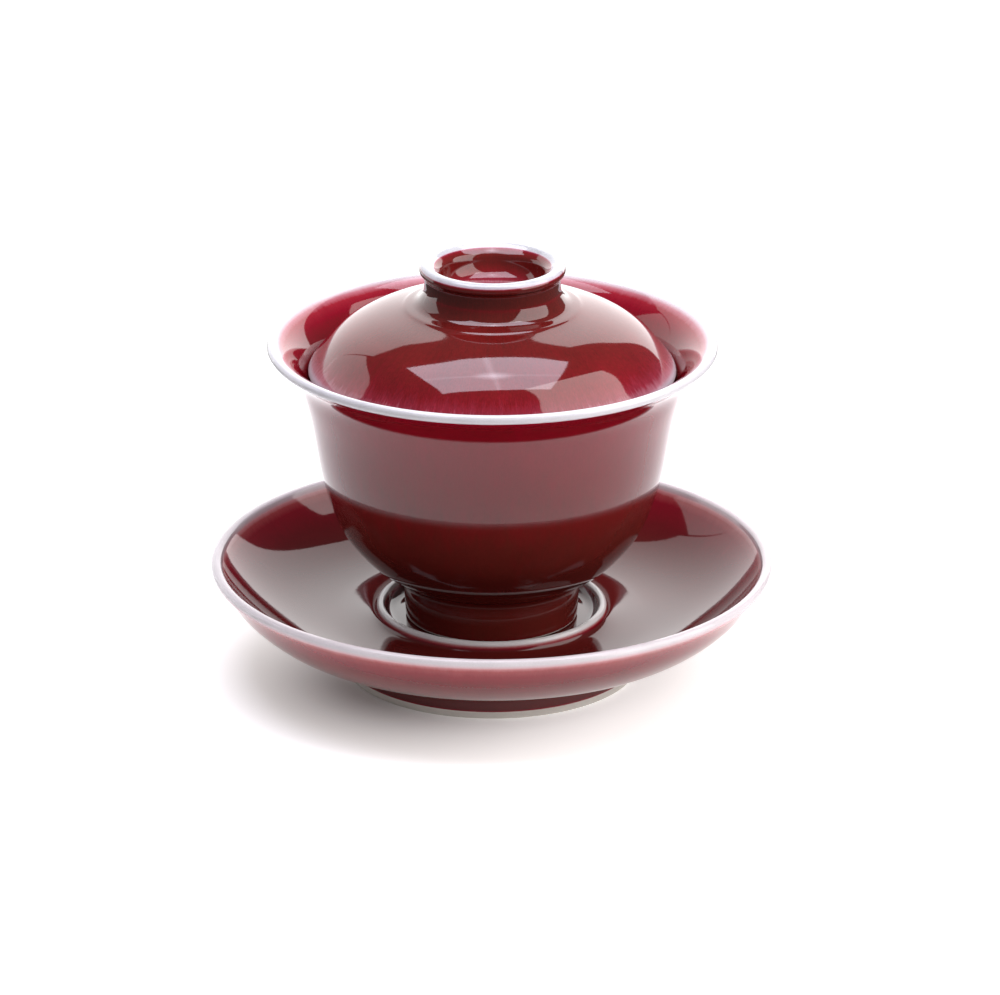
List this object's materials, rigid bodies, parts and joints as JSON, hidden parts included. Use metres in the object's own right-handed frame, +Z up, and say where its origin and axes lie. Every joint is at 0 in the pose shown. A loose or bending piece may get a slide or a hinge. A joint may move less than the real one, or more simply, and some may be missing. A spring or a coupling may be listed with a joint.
{
  "type": "gaiwan",
  "caption": "Lidded tea bowl with a flared rim on a ring foot, a domed lid with a ring knob, and a footed saucer with a raised seat ring.",
  "frame": {"origin": "centre of the saucer's foot ring, on the table", "axes": "+Z up along the axis that all three pieces are turned about; X and Y are alike"},
  "size_m": [0.118, 0.118, 0.0893],
  "materials": {
    "saucer_glaze": "gloss copper-red glaze, thin and pale at the rim, bare clay on the foot's edge",
    "bowl_glaze": "gloss copper-red glaze, white at the rim, bare clay on the foot's edge",
    "lid_glaze": "gloss copper-red glaze with fine streaks, white at the edge and the knob's lip"
  },
  "bodies": {
    "saucer": {"saucer": "saucer_glaze"},
    "bowl": {"bowl": "bowl_glaze"},
    "lid": {"lid": "lid_glaze"}
  },
  "joints": [
    {"name": "bowl_lift", "type": "slide", "parent": "saucer", "child": "bowl", "axis": [0, 0, 1], "range_m": [0, 0.05]},
    {"name": "lid_lift", "type": "slide", "parent": "bowl", "child": "lid", "axis": [0, 0, 1], "range_m": [0, 0.05]}
  ]
}
